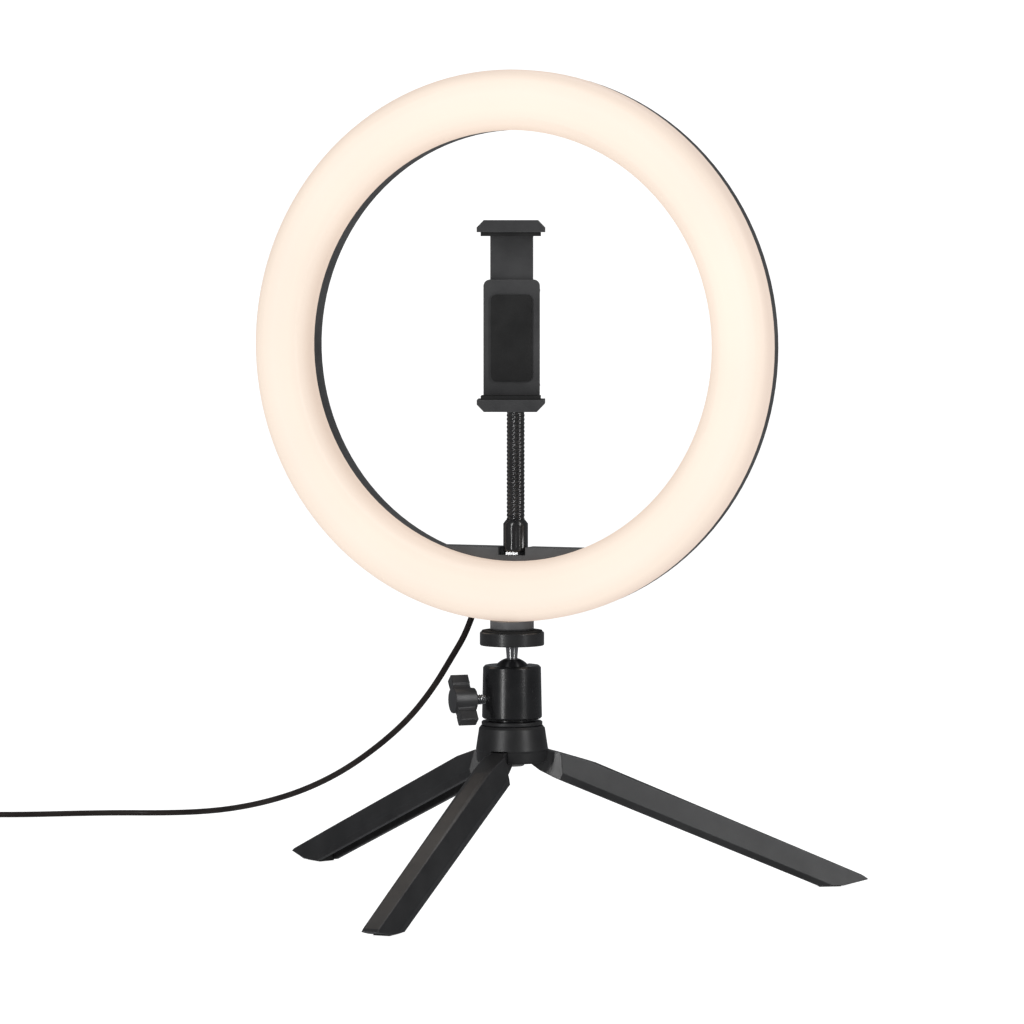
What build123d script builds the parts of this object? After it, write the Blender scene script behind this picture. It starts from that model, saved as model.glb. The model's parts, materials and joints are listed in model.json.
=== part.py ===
"""Ring light on a folding table tripod, with a gooseneck phone clamp and a USB lead.

Millimetres, +Z up.  The light faces -Y.  The origin is on the surface the tripod stands on,
at the centre of the footprint's bounding box.
"""
from build123d import *
from math import cos, degrees, pi, radians, sin, tan
import os

os.makedirs("parts", exist_ok=True)

# ---------------------------------------------------------------- driving dimensions
RING_OUTER_R = 130.0
RING_HOLE_R = 102.3
RING_CENTRE_Z = 260.0
RING_BACK_Y = 10.0          # back face, behind the head axis
RING_FRONT_Y = -10.5        # crown of the diffuser, before the head axis
AXIS_Y = 41.47              # head axis; puts the footprint's centre at the origin

LEG_AZIMUTHS = {"front": 270, "right": 30, "left": 150}
LEG_SLOPE = 23.2            # degrees below the horizontal, legs spread
LEG_WIDTH = 15.4            # across the skirts, near the hub
LEG_TIP_WIDTH = 12.8
LEG_TOP_WIDTH = 9.2         # flat top, near the hub
LEG_REACH = 172.8           # head axis to the tip of a spread leg
PIVOT_R = 12.0
PIVOT_Z = 64.0
PIN_R = 1.5

BALL_Z = 102.1
BALL_R = 10.0
STUD_R = 3.175              # 1/4 inch camera thread, major radius
KNOB_AZIMUTH = 221.5
KNOB_Z = 92.5

HOLDER_TURN = 19.5          # the phone clamp's turn about the gooseneck, seen from above
NECK_Y = 4.7                # gooseneck axis behind the head axis
NECK_R = 4.3
NECK_BEND_R = 26.0
CLAMP_Z = 275.0             # ball joint behind the phone clamp
GRIP_LOW_Z = 238.6
GRIP_HIGH_Z = 312.1
GRIP_WIDTH = 31.0

CORD_R = 1.5
RUN_FIT = 0.05              # radial clearance of turning fits


# ---------------------------------------------------------------- planes and helpers
def level(z):
    """Horizontal plane at height z, centred on the head axis."""
    return Plane(origin=(0, AXIS_Y, z))


HALF_SECTION = Plane(origin=(0, AXIS_Y, 0), x_dir=(1, 0, 0), z_dir=(0, -1, 0))
HEAD_AXIS = Axis((0, AXIS_Y, 0), (0, 0, 1))
RING_SECTION = Plane(origin=(0, AXIS_Y, RING_CENTRE_Z), x_dir=(1, 0, 0), z_dir=(0, 0, 1))
RING_AXIS = Axis((0, AXIS_Y, RING_CENTRE_Z), (0, 1, 0))


def ring_face(y):
    """Vertical plane through the ring's centre line at depth y; its normal looks forward."""
    return Plane(origin=(0, AXIS_Y + y, RING_CENTRE_Z), x_dir=(1, 0, 0), z_dir=(0, -1, 0))


def save(piece, name):
    """Label a finished piece and write it as its own STEP file."""
    piece.part.label = name
    export_step(piece.part, f"parts/{name}.step")


def turned(points, plane=HALF_SECTION, axis=HEAD_AXIS):
    """A turned solid from its closed half outline, as (radius, height) points."""
    with BuildPart() as piece:
        with BuildSketch(plane):
            with BuildLine():
                Polyline(points, close=True)
            make_face()
        revolve(axis=axis)
    return piece


# ---------------------------------------------------------------- tripod legs
def radial(azimuth):
    """Unit vector pointing out from the head axis."""
    return Vector(cos(radians(azimuth)), sin(radians(azimuth)), 0)


def leg_point(r, z):
    """Turn a place beside the head axis into leg coordinates: along the leg, and across it."""
    out, up = r - PIVOT_R, z - PIVOT_Z
    slope = radians(LEG_SLOPE)
    return (out * cos(slope) - up * sin(slope), out * sin(slope) + up * cos(slope))


def leg_planes(azimuth):
    """Planes at a leg's hinge pin: across the leg, beside it, and lying in it."""
    out, up = radial(azimuth), Vector(0, 0, 1)
    slope = radians(LEG_SLOPE)
    along = out * cos(slope) - up * sin(slope)
    rise = out * sin(slope) + up * cos(slope)
    side = rise.cross(along)
    pin = Vector(0, AXIS_Y, PIVOT_Z) + out * PIVOT_R
    return (
        Plane(origin=pin, x_dir=side, z_dir=along),
        Plane(origin=pin, x_dir=along, z_dir=side * -1),
        Plane(origin=pin, x_dir=along, z_dir=rise),
    )


LEG_END = leg_point(LEG_REACH, 0)[0]
TOP_V = 8.8                 # top of the leg, above the pin
CROWN = 0.6                 # fall of the top from its middle to its edges
SKIRT_V = -1.8              # the flared sides turn straight down here
SOLE_LIFT = 0.6             # leg's own end stays this far above the surface
LEG_WALL = 2.2
SHOULDER = 13.0             # full width starts here, along the leg
CHANNEL_START = SHOULDER + 4
CHANNEL_END = LEG_END - 9
TONGUE_W = 7.5
TONGUE_END = 6.3            # the tongue widens from here to the shoulder
TIP_CUT = 4.5               # corners taken off the tip, seen from above

LEG_OUTLINE = [
    leg_point(13.0, 58.2),
    leg_point(19.5, 54.9),
    leg_point(148.0, SOLE_LIFT),
    leg_point(160.0, SOLE_LIFT),
    leg_point(172.8, 3.2),
    leg_point(171.0, 4.6),
    leg_point(40.8, 61.1),
    leg_point(17.3, 68.1),
    leg_point(12.0, 68.2),
    leg_point(8.6, 66.4),
    leg_point(7.8, 64.0),
    leg_point(8.6, 61.6),
]


def leg_section(inset, s):
    """Cross-section of a leg this far along it: crowned top, flared sides, straight skirts."""
    share = (s - SHOULDER) / (LEG_END - SHOULDER)
    taper = 1 + (LEG_TIP_WIDTH / LEG_WIDTH - 1) * share
    side = LEG_WIDTH / 2 * taper - inset
    top = LEG_TOP_WIDTH / 2 * taper - 0.75 * inset
    low, high = SKIRT_V - 12, TOP_V - inset
    return [
        (-side, low), (side, low), (side, SKIRT_V), (top, high - CROWN),
        (top / 2, high), (-top / 2, high), (-top, high - CROWN), (-side, SKIRT_V),
    ]


def leg_body(across, inset, start, end):
    """Body of that cross-section between two places along the leg."""
    with BuildPart() as body:
        for s in (start, end):
            with BuildSketch(across.offset(s)):
                with BuildLine():
                    Polyline(leg_section(inset, s), close=True)
                make_face()
        loft(ruled=True)
    return body.part


def make_leg(azimuth):
    across, beside, lying = leg_planes(azimuth)
    half, tip = LEG_WIDTH / 2, LEG_TIP_WIDTH / 2
    with BuildPart() as leg:
        add(leg_body(across, 0, -8, LEG_END + 4))
        with BuildSketch(beside):
            with BuildLine():
                Polyline(LEG_OUTLINE, close=True)
            make_face()
        extrude(amount=LEG_WIDTH, both=True, mode=Mode.INTERSECT)
        with BuildSketch(lying.offset(-12)):
            with BuildLine():
                Polyline(
                    [
                        (-8, -TONGUE_W / 2), (TONGUE_END, -TONGUE_W / 2), (SHOULDER, -half),
                        (SHOULDER + 1, -half - 1), (LEG_END - 8, -half - 1), (LEG_END - 5, -tip),
                        (LEG_END + 2, TIP_CUT - tip), (LEG_END + 2, tip - TIP_CUT),
                        (LEG_END - 5, tip), (LEG_END - 8, half + 1), (SHOULDER + 1, half + 1),
                        (SHOULDER, half), (TONGUE_END, TONGUE_W / 2), (-8, TONGUE_W / 2),
                    ],
                    close=True,
                )
            make_face()
        extrude(amount=24, mode=Mode.INTERSECT)
        add(leg_body(across, LEG_WALL, CHANNEL_START, CHANNEL_END), mode=Mode.SUBTRACT)
        with BuildSketch(beside):
            Circle(PIN_R + RUN_FIT)
        extrude(amount=TONGUE_W, both=True, mode=Mode.SUBTRACT)
    return leg


def make_foot_pad(azimuth):
    """Rubber sole in the end of a leg's channel, flat on the surface."""
    across, beside, lying = leg_planes(azimuth)
    sole = [leg_point(148.6, 0), leg_point(159.4, 0), leg_point(159.4, 9), leg_point(148.6, 9)]
    with BuildPart() as pad:
        add(leg_body(across, LEG_WALL + 0.05, CHANNEL_START, CHANNEL_END))
        with BuildSketch(beside):
            with BuildLine():
                Polyline(sole, close=True)
            make_face()
        extrude(amount=LEG_WIDTH, both=True, mode=Mode.INTERSECT)
    return pad


for place, azimuth in LEG_AZIMUTHS.items():
    save(make_leg(azimuth), f"leg_{place}")
    save(make_foot_pad(azimuth), f"foot_pad_{place}")

# ---------------------------------------------------------------- tripod hub
HUB_TOP_Z = 79.8
HUB_LOW_Z = 62.6
SLOT_W = 8.0
PIN_LENGTH = 17.0

with BuildPart() as tripod_hub:
    with BuildSketch(HALF_SECTION):
        with BuildLine():
            Polyline(
                [
                    (0, HUB_LOW_Z), (16.2, HUB_LOW_Z), (16.8, HUB_LOW_Z + 0.8),
                    (16.9, 67.8), (17.2, 68.6), (15.7, 78.6), (14.7, HUB_TOP_Z),
                    (0, HUB_TOP_Z),
                ],
                close=True,
            )
        make_face()
    revolve(axis=HEAD_AXIS)
    for azimuth in LEG_AZIMUTHS.values():
        across, beside, lying = leg_planes(azimuth)
        slot = Plane(origin=(0, AXIS_Y, HUB_LOW_Z - 1), x_dir=radial(azimuth), z_dir=(0, 0, 1))
        with BuildSketch(slot):
            with Locations((13.2, 0)):
                Rectangle(12.0, SLOT_W)
        extrude(amount=68.6 - HUB_LOW_Z + 1, mode=Mode.SUBTRACT)
        with BuildSketch(beside):
            Circle(PIN_R)
        extrude(amount=PIN_LENGTH / 2, both=True, mode=Mode.SUBTRACT)
    with BuildSketch(level(70.0)):
        Circle(STUD_R)
    extrude(amount=12, mode=Mode.SUBTRACT)
    with BuildSketch(level(HUB_LOW_Z)):
        Circle(4.0)
    extrude(amount=2.0, mode=Mode.SUBTRACT)
save(tripod_hub, "tripod_hub")

with BuildPart() as leg_pins:
    for azimuth in LEG_AZIMUTHS.values():
        with BuildSketch(leg_planes(azimuth)[1]):
            Circle(PIN_R)
        extrude(amount=PIN_LENGTH / 2, both=True)
save(leg_pins, "leg_pins")

hub_cap = turned([(0, 60.4), (5.4, 60.4), (5.9, 60.9), (5.9, 62.6), (4.0, 62.6), (4.0, 64.6), (0, 64.6)])
save(hub_cap, "hub_cap")

head_stud = turned([(0, 70), (STUD_R, 70), (STUD_R, 86.6), (2.6, 87.2), (0, 87.2)])
save(head_stud, "head_stud")

pan_washer = turned(
    [(STUD_R + RUN_FIT, 79.8), (13.9, 79.8), (14.5, 80.3), (14.5, 81.5), (14.1, 81.9), (STUD_R + RUN_FIT, 81.9)]
)
save(pan_washer, "pan_washer")

# ---------------------------------------------------------------- ball head
HOUSING_TOP_Z = 108.4
HOUSING_LOW_Z = 83.2
SOCKET_R = BALL_R + RUN_FIT
CAVITY_LOW_Z = 88.6
SCREW_R = 2.5
NOTCH_W = 8.0
KNOB_NEAR = 19.0            # knob's inner face, from the head axis
KNOB_FAR = 30.1
KNOB_CAP = 3.0              # depth of the knob beyond the end of its screw
KNOB_HUB_R = 6.2
WING_DEPTH = 8.8
WING_SPAN = 24.5
WING_THICK = 4.6
WING_END_R = 2.9

knob_out = radial(KNOB_AZIMUTH)


def knob_plane(distance):
    """Plane across the clamping screw, this far from the head axis."""
    return Plane(
        origin=Vector(0, AXIS_Y, KNOB_Z) + knob_out * distance,
        x_dir=(-knob_out.Y, knob_out.X, 0),
        z_dir=knob_out,
    )


with BuildPart() as ball_housing:
    with BuildSketch(HALF_SECTION):
        with BuildLine():
            Polyline(
                [
                    (STUD_R + RUN_FIT, 82.0), (11.2, 82.0), (11.2, HOUSING_LOW_Z), (13.7, HOUSING_LOW_Z),
                    (14.3, 83.9), (13.8, 107.4), (12.9, HOUSING_TOP_Z), (0, HOUSING_TOP_Z),
                    (0, CAVITY_LOW_Z), (STUD_R + RUN_FIT, CAVITY_LOW_Z),
                ],
                close=True,
            )
        make_face()
    revolve(axis=HEAD_AXIS)
    with BuildSketch(level(CAVITY_LOW_Z)):
        Circle(SOCKET_R)
    extrude(amount=BALL_Z - CAVITY_LOW_Z, mode=Mode.SUBTRACT)
    with BuildSketch(HALF_SECTION):
        with BuildLine():
            CenterArc((0, BALL_Z), SOCKET_R, 0, 90)
            Line((0, BALL_Z + SOCKET_R), (0, BALL_Z))
            Line((0, BALL_Z), (SOCKET_R, BALL_Z))
        make_face()
    revolve(axis=HEAD_AXIS, mode=Mode.SUBTRACT)
    with BuildSketch(level(HOUSING_TOP_Z + 1)):
        with Locations((0, 10)):
            Rectangle(NOTCH_W, 20)
    extrude(amount=-(HOUSING_TOP_Z + 1 - BALL_Z), mode=Mode.SUBTRACT)
    with BuildSketch(Plane(origin=(0, AXIS_Y, BALL_Z), x_dir=(-1, 0, 0), z_dir=(0, 1, 0))):
        Circle(NOTCH_W / 2)
    extrude(amount=20, mode=Mode.SUBTRACT)
    with BuildSketch(knob_plane(8)):
        Circle(SCREW_R + RUN_FIT)
    extrude(amount=10, mode=Mode.SUBTRACT)
save(ball_housing, "ball_housing")

with BuildPart() as ball_seat:
    with BuildSketch(level(CAVITY_LOW_Z)):
        Circle(BALL_R - 0.1)
    extrude(amount=9.0)
    with BuildSketch(HALF_SECTION):
        with BuildLine():
            CenterArc((0, BALL_Z), SOCKET_R, -90, 90)
            Line((SOCKET_R, BALL_Z), (0, BALL_Z))
            Line((0, BALL_Z), (0, BALL_Z - SOCKET_R))
        make_face()
    revolve(axis=HEAD_AXIS, mode=Mode.SUBTRACT)
    with BuildSketch(knob_plane(6)):
        Circle(SCREW_R + 0.2)
    extrude(amount=6, mode=Mode.SUBTRACT)
save(ball_seat, "ball_seat")

SCREW_NEAR = 7.6            # tip of the clamping screw, from the head axis
with BuildPart() as clamp_screw:
    with BuildSketch(knob_plane(SCREW_NEAR)):
        Circle(SCREW_R)
    extrude(amount=KNOB_FAR - SCREW_NEAR - KNOB_CAP)
save(clamp_screw, "clamp_screw")

WING_TILT = 52.0
with BuildPart() as clamp_knob:
    with BuildSketch(knob_plane(KNOB_NEAR)):
        Circle(KNOB_HUB_R)
    extrude(amount=KNOB_FAR - KNOB_NEAR)
    fillet(clamp_knob.edges().filter_by(GeomType.CIRCLE), radius=1.2)
    with BuildSketch(knob_plane(KNOB_NEAR + 1.2)):
        with Locations(Location((0, 0), 180 - WING_TILT)):
            Rectangle(WING_SPAN, WING_THICK)
            with Locations((10.4, 0), (-10.4, 0)):
                Circle(WING_END_R)
    extrude(amount=WING_DEPTH)
    with BuildSketch(knob_plane(KNOB_NEAR - 1)):
        Circle(SCREW_R)
    extrude(amount=KNOB_FAR - KNOB_CAP - KNOB_NEAR + 1, mode=Mode.SUBTRACT)
save(clamp_knob, "clamp_knob")

DISC_R = 15.3
DISC_LOW_Z = 118.0
DISC_TOP_Z = 124.4
PAD_TOP_Z = 125.1
with BuildPart() as ball_stem:
    with BuildSketch(HALF_SECTION):
        with BuildLine():
            Polyline(
                [
                    (0, 111.0), (2.5, 111.0), (3.1, DISC_LOW_Z), (STUD_R, DISC_LOW_Z),
                    (STUD_R, 132.4), (2.6, 133.0), (0, 133.0),
                ],
                close=True,
            )
        make_face()
    revolve(axis=HEAD_AXIS)
    with BuildSketch(HALF_SECTION):
        with BuildLine():
            CenterArc((0, BALL_Z), BALL_R, -90, 180)
            Line((0, BALL_Z + BALL_R), (0, BALL_Z - BALL_R))
        make_face()
    revolve(axis=HEAD_AXIS)
save(ball_stem, "ball_stem")

DISC_BORE = STUD_R + RUN_FIT
lock_disc = turned(
    [
        (DISC_BORE, DISC_LOW_Z), (DISC_R - 0.3, DISC_LOW_Z), (DISC_R, DISC_LOW_Z + 0.4),
        (DISC_R, DISC_TOP_Z - 0.5), (DISC_R - 0.4, DISC_TOP_Z), (DISC_BORE, DISC_TOP_Z),
    ]
)
save(lock_disc, "lock_disc")
disc_pad = turned([(DISC_BORE, DISC_TOP_Z), (14.4, DISC_TOP_Z), (14.4, PAD_TOP_Z), (DISC_BORE, PAD_TOP_Z)])
save(disc_pad, "disc_pad")

# ---------------------------------------------------------------- ring: shell and diffuser
SHELL_WALL_R = 127.8
SCREW_CIRCLE_R = 123.5
SCREW_COUNT = 8
WEB_TOP = -95.4             # top of the bar across the ring's foot, from the ring's centre
WEB_FRONT_Y = -0.6
POCKET_Z = 160.8            # seat of the gooseneck's nut
FOOT_R = 10.4
FOOT_TOP_Z = 131.0
FOOT_LOW_Z = PAD_TOP_Z + 0.05
INSERT_R = 5.0
THREAD_BORE = STUD_R + RUN_FIT

BOOT_TOP = Vector(-19.0, AXIS_Y + 14.0, 149.5)
BOOT_END = Vector(-25.6, AXIS_Y + 14.0, 131.4)
boot_rise = (BOOT_TOP - BOOT_END).normalized()
HOOD_PLANE = Plane(origin=BOOT_TOP, x_dir=(0, -1, 0), z_dir=boot_rise)

with BuildPart() as rear_shell:
    with BuildSketch(RING_SECTION):
        with BuildLine():
            Polyline(
                [
                    (RING_OUTER_R, 1.7), (RING_OUTER_R, 8.6), (128.8, RING_BACK_Y), (103.3, RING_BACK_Y),
                    (RING_HOLE_R, 9.0), (RING_HOLE_R, WEB_FRONT_Y), (104.5, WEB_FRONT_Y), (104.5, 7.5),
                    (SHELL_WALL_R, 7.5), (SHELL_WALL_R, 1.7),
                ],
                close=True,
            )
        make_face()
    revolve(axis=RING_AXIS)
    with BuildSketch(ring_face(RING_BACK_Y)):
        Circle(103.3)
        with Locations((0, WEB_TOP - 20)):
            Rectangle(240, 40, mode=Mode.INTERSECT)
    extrude(amount=RING_BACK_Y - WEB_FRONT_Y)
    with BuildSketch(ring_face(7.5)):
        with PolarLocations(112, 6, start_angle=30):
            Circle(3)
    extrude(amount=1.3)
    with BuildSketch(HOOD_PLANE):
        Circle(5)
        with Locations((2.5, 0)):
            Rectangle(5, 10)
    extrude(amount=12.5)
    with BuildSketch(Plane(origin=(0, AXIS_Y + NECK_Y, POCKET_Z))):
        Rectangle(13.8, 24)
    extrude(amount=8, mode=Mode.SUBTRACT)
    with BuildSketch(Plane(origin=(0, AXIS_Y + NECK_Y, POCKET_Z))):
        Circle(4.5)
    extrude(amount=-5.2, mode=Mode.SUBTRACT)
    with BuildSketch(level(124)):
        Circle(INSERT_R + 0.1)
    extrude(amount=14, mode=Mode.SUBTRACT)
    with BuildSketch(ring_face(RING_BACK_Y)):
        with PolarLocations(SCREW_CIRCLE_R, SCREW_COUNT, start_angle=22.5):
            Circle(1.15)
    extrude(amount=2.5, mode=Mode.SUBTRACT)
    with BuildSketch(ring_face(RING_BACK_Y)):
        with PolarLocations(SCREW_CIRCLE_R, SCREW_COUNT, start_angle=22.5):
            Circle(2.2)
    extrude(amount=1.1, mode=Mode.SUBTRACT)
save(rear_shell, "rear_shell")

with BuildPart() as diffuser:
    with BuildSketch(RING_SECTION):
        with BuildLine():
            Line((130.5, 1.6), (130.5, -4.5))
            CenterArc((124.5, -4.5), 6.0, 0, -90)
            Line((124.5, RING_FRONT_Y), (108, RING_FRONT_Y))
            CenterArc((108, -4.5), 6.0, -90, -90)
            Polyline([(102, -4.5), (102, -0.7), (104.2, -0.7), (104.2, -4.4)])
            CenterArc((108.1, -4.4), 3.9, 180, 90)
            Line((108.1, -8.3), (124.3, -8.3))
            CenterArc((124.3, -4.4), 3.9, 270, 90)
            Polyline(
                [(128.2, -4.4), (128.2, -1.2), (126.2, -1.2), (126.2, 5.5), (127.7, 5.5), (127.7, 1.6), (130.5, 1.6)]
            )
        make_face()
    revolve(axis=RING_AXIS)
    with BuildSketch(ring_face(7.4)):
        with PolarLocations(SCREW_CIRCLE_R, SCREW_COUNT, start_angle=22.5):
            Circle(2.4)
    extrude(amount=16.0)
    with BuildSketch(ring_face(7.4)):
        with PolarLocations(SCREW_CIRCLE_R, SCREW_COUNT, start_angle=22.5):
            Circle(1.1)
    extrude(amount=9.5, mode=Mode.SUBTRACT)
    with BuildSketch(level(124)):
        Circle(INSERT_R + 0.1)
    extrude(amount=14, mode=Mode.SUBTRACT)
save(diffuser, "diffuser")

with BuildPart() as housing_screws:
    with BuildSketch(ring_face(RING_BACK_Y)):
        with PolarLocations(SCREW_CIRCLE_R, SCREW_COUNT, start_angle=22.5):
            Circle(2.2)
    extrude(amount=1.1)
    with BuildSketch(ring_face(RING_BACK_Y - 1)):
        with PolarLocations(SCREW_CIRCLE_R, SCREW_COUNT, start_angle=22.5):
            Circle(1.1)
    extrude(amount=11.0)
    with BuildSketch(ring_face(RING_BACK_Y)):
        with PolarLocations(SCREW_CIRCLE_R, SCREW_COUNT, start_angle=22.5):
            Rectangle(2.4, 0.5)
            Rectangle(0.5, 2.4)
    extrude(amount=0.6, mode=Mode.SUBTRACT)
save(housing_screws, "housing_screws")

with BuildPart() as led_board:
    with BuildSketch(ring_face(6.2)):
        Circle(120.5)
        Circle(105.5, mode=Mode.SUBTRACT)
    extrude(amount=1.2)
save(led_board, "led_board")


def make_leds(first_angle):
    """Every second light-emitting diode round the board."""
    with BuildPart() as leds:
        with BuildSketch(ring_face(5.0)):
            with PolarLocations(113, 36, start_angle=first_angle):
                Rectangle(2.8, 3.5)
        extrude(amount=0.9)
    return leds


save(make_leds(0), "warm_leds")
save(make_leds(5), "cool_leds")

with BuildPart() as mount_foot:
    with BuildSketch(level(FOOT_LOW_Z)):
        Circle(FOOT_R)
    extrude(amount=FOOT_TOP_Z - FOOT_LOW_Z)
    chamfer(mount_foot.faces().sort_by(Axis.Z)[0].edges(), length=0.9)
    with BuildSketch(ring_face(20)):
        Circle(RING_OUTER_R + 0.6)
    extrude(amount=40, mode=Mode.SUBTRACT)
    with BuildSketch(level(FOOT_LOW_Z)):
        Circle(INSERT_R)
    extrude(amount=10, mode=Mode.SUBTRACT)
save(mount_foot, "mount_foot")

with BuildPart() as foot_insert:
    with BuildSketch(level(FOOT_LOW_Z + 0.3)):
        Circle(INSERT_R)
        Circle(THREAD_BORE, mode=Mode.SUBTRACT)
    extrude(amount=10)
save(foot_insert, "foot_insert")

with BuildPart() as web_insert:
    with BuildSketch(Plane(origin=(0, AXIS_Y + NECK_Y, POCKET_Z))):
        Circle(4.5)
        Circle(THREAD_BORE, mode=Mode.SUBTRACT)
    extrude(amount=-5.2)
save(web_insert, "web_insert")

with BuildPart() as strain_relief:
    with BuildSketch(HOOD_PLANE):
        Circle(3.0)
    with BuildSketch(Plane(origin=BOOT_END, x_dir=(0, -1, 0), z_dir=boot_rise)):
        Circle(1.9)
    loft()
save(strain_relief, "strain_relief")

# ---------------------------------------------------------------- gooseneck
NUT_LOW_Z = 160.9
FERRULE_LOW_Z = 162.3
TUBE_START_Z = 170.0
TUBE_BEND_Z = CLAMP_Z - NECK_BEND_R
JOINT_COUNT = 5
FIRST_JOINT = 32.0          # along the neck's centre line, from the start of its tube
JOINT_PITCH = 19.0
LINK_BALL_R = 3.2
TUBE_END = (TUBE_BEND_Z - TUBE_START_Z) + NECK_BEND_R * pi / 2

right = Vector(cos(radians(HOLDER_TURN)), sin(radians(HOLDER_TURN)), 0)
forward = Vector(sin(radians(HOLDER_TURN)), -cos(radians(HOLDER_TURN)), 0)
NECK_FOOT = Vector(0, AXIS_Y + NECK_Y, 0)
NECK_SIDE = Plane(origin=NECK_FOOT, x_dir=forward, z_dir=right * -1)
NECK_AXIS = Axis(NECK_FOOT, (0, 0, 1))


def neck_point(s):
    """Point of the neck's centre line, this far along it: forward of its foot, and height."""
    straight = TUBE_BEND_Z - TUBE_START_Z
    if s <= straight:
        return (0.0, TUBE_START_Z + s)
    turn = (s - straight) / NECK_BEND_R
    return (NECK_BEND_R * (1 - cos(turn)), TUBE_BEND_Z + NECK_BEND_R * sin(turn))


def neck_place(s):
    """The same point in space."""
    out, up = neck_point(s)
    return NECK_FOOT + forward * out + Vector(0, 0, up)


def neck_plane(s):
    """Plane across the neck, this far along it."""
    turn = max(0.0, (s - (TUBE_BEND_Z - TUBE_START_Z)) / NECK_BEND_R)
    return Plane(
        origin=neck_place(s), x_dir=right, z_dir=forward * sin(turn) + Vector(0, 0, cos(turn))
    )


def holder_face(q):
    """Upright plane across the clamp's axis, this far before the neck's foot; it faces forward."""
    return Plane(origin=NECK_FOOT + forward * q + Vector(0, 0, CLAMP_Z), x_dir=right, z_dir=forward)


def neck_length(start, end, fit_ball, fit_cup):
    """One stretch of the neck's tube, with a ball at its far end and a cup at its near end."""
    straight = TUBE_BEND_Z - TUBE_START_Z
    with BuildPart() as link:
        with BuildLine(NECK_SIDE) as path:
            if start < straight:
                Line(neck_point(start), neck_point(min(end, straight)))
            if end > straight:
                first, last = max(start, straight), end
                CenterArc(
                    (NECK_BEND_R, TUBE_BEND_Z),
                    NECK_BEND_R,
                    180 - degrees((first - straight) / NECK_BEND_R),
                    -degrees((last - first) / NECK_BEND_R),
                )
        with BuildSketch(neck_plane(start)):
            Circle(NECK_R)
        sweep(path=path.line)
        if fit_ball is not None:
            with Locations(Location(neck_place(fit_ball))):
                Sphere(LINK_BALL_R)
        if fit_cup is not None:
            with Locations(Location(neck_place(fit_cup))):
                Sphere(LINK_BALL_R + 0.1, mode=Mode.SUBTRACT)
    return link


JOINTS = [FIRST_JOINT + JOINT_PITCH * i for i in range(JOINT_COUNT)]
for number in range(JOINT_COUNT + 1):
    near = JOINTS[number - 1] if number else None
    far = JOINTS[number] if number < JOINT_COUNT else None
    link = neck_length(
        near - 0.6 if near else 0.0,
        far - 1.8 if far else TUBE_END - 1.0,
        far,
        near,
    )
    save(link, f"neck_link_{number}")

with BuildPart() as lock_nut:
    with BuildSketch(Plane(origin=(0, AXIS_Y + NECK_Y, NUT_LOW_Z))):
        RegularPolygon(radius=6.0, side_count=6)
        Circle(STUD_R, mode=Mode.SUBTRACT)
    extrude(amount=1.3)
save(lock_nut, "lock_nut")

NECK_HALF = Plane(origin=NECK_FOOT, x_dir=(1, 0, 0), z_dir=(0, -1, 0))
lower_ferrule = turned(
    [
        (0, 156.2), (2.7, 156.2), (STUD_R, 156.8), (STUD_R, FERRULE_LOW_Z), (5.5, FERRULE_LOW_Z),
        (5.9, 162.8), (5.9, 175.0), (5.7, 176.6), (4.8, 179.6), (4.6, 180.5),
        (NECK_R, 180.5), (NECK_R, TUBE_START_Z), (0, TUBE_START_Z),
    ],
    NECK_HALF,
    NECK_AXIS,
)
save(lower_ferrule, "lower_ferrule")

# ---------------------------------------------------------------- phone clamp
BALL_Q = 40.0               # all the q values run forward from the neck's foot
SOCKET_BALL_R = 5.5
COLLAR_R = 9.0
COLLAR_NEAR_Q = 36.6
COLLAR_FAR_Q = 48.0
COVER_Q = 48.1
BODY_Q = 50.1
BODY_FACE_Q = 57.0
JAW_TIP_Q = 72.0
GRIP_LOW = GRIP_LOW_Z - CLAMP_Z
GRIP_HIGH = GRIP_HIGH_Z - CLAMP_Z
JAW_HEIGHT = 5.6
PAD_HEIGHT = 1.8
ARM_HALF_W = 9.9

HOLDER_SECTION = Plane(origin=NECK_FOOT + Vector(0, 0, CLAMP_Z), x_dir=forward, z_dir=right * -1)
HOLDER_AXIS = Axis(NECK_FOOT + Vector(0, 0, CLAMP_Z), forward)

with BuildPart() as upper_ferrule:
    with BuildSketch(HOLDER_SECTION):
        with BuildLine():
            Polyline(
                [
                    (25, 0), (25, 4.6), (25.5, 5.1), (31.4, 5.1), (32, 4.6), (32, 2.8), (36, 2.8), (36, 0),
                ],
                close=True,
            )
        make_face()
    revolve(axis=HOLDER_AXIS)
    with Locations(Location(holder_face(BALL_Q).origin)):
        Sphere(SOCKET_BALL_R)
save(upper_ferrule, "upper_ferrule")

with BuildPart() as socket_collar:
    with BuildSketch(HOLDER_SECTION):
        with BuildLine():
            Polyline(
                [
                    (COLLAR_NEAR_Q, 0), (COLLAR_NEAR_Q, 8.0), (37.6, COLLAR_R), (46.8, COLLAR_R),
                    (COLLAR_FAR_Q, 8.2), (COLLAR_FAR_Q, 0),
                ],
                close=True,
            )
        make_face()
    revolve(axis=HOLDER_AXIS)
    with BuildSketch(holder_face(COLLAR_FAR_Q)):
        Circle(SOCKET_BALL_R + RUN_FIT)
    extrude(amount=BALL_Q - COLLAR_FAR_Q, mode=Mode.SUBTRACT)
    with BuildSketch(holder_face(BALL_Q)):
        Circle(4.8)
    extrude(amount=-6, mode=Mode.SUBTRACT)
    with Locations(Location(holder_face(BALL_Q).origin)):
        Sphere(SOCKET_BALL_R + RUN_FIT, mode=Mode.SUBTRACT)
    with BuildSketch(holder_face(39)):
        with PolarLocations(COLLAR_R + 0.2, 18):
            Circle(0.7)
    extrude(amount=7, mode=Mode.SUBTRACT)
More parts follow.
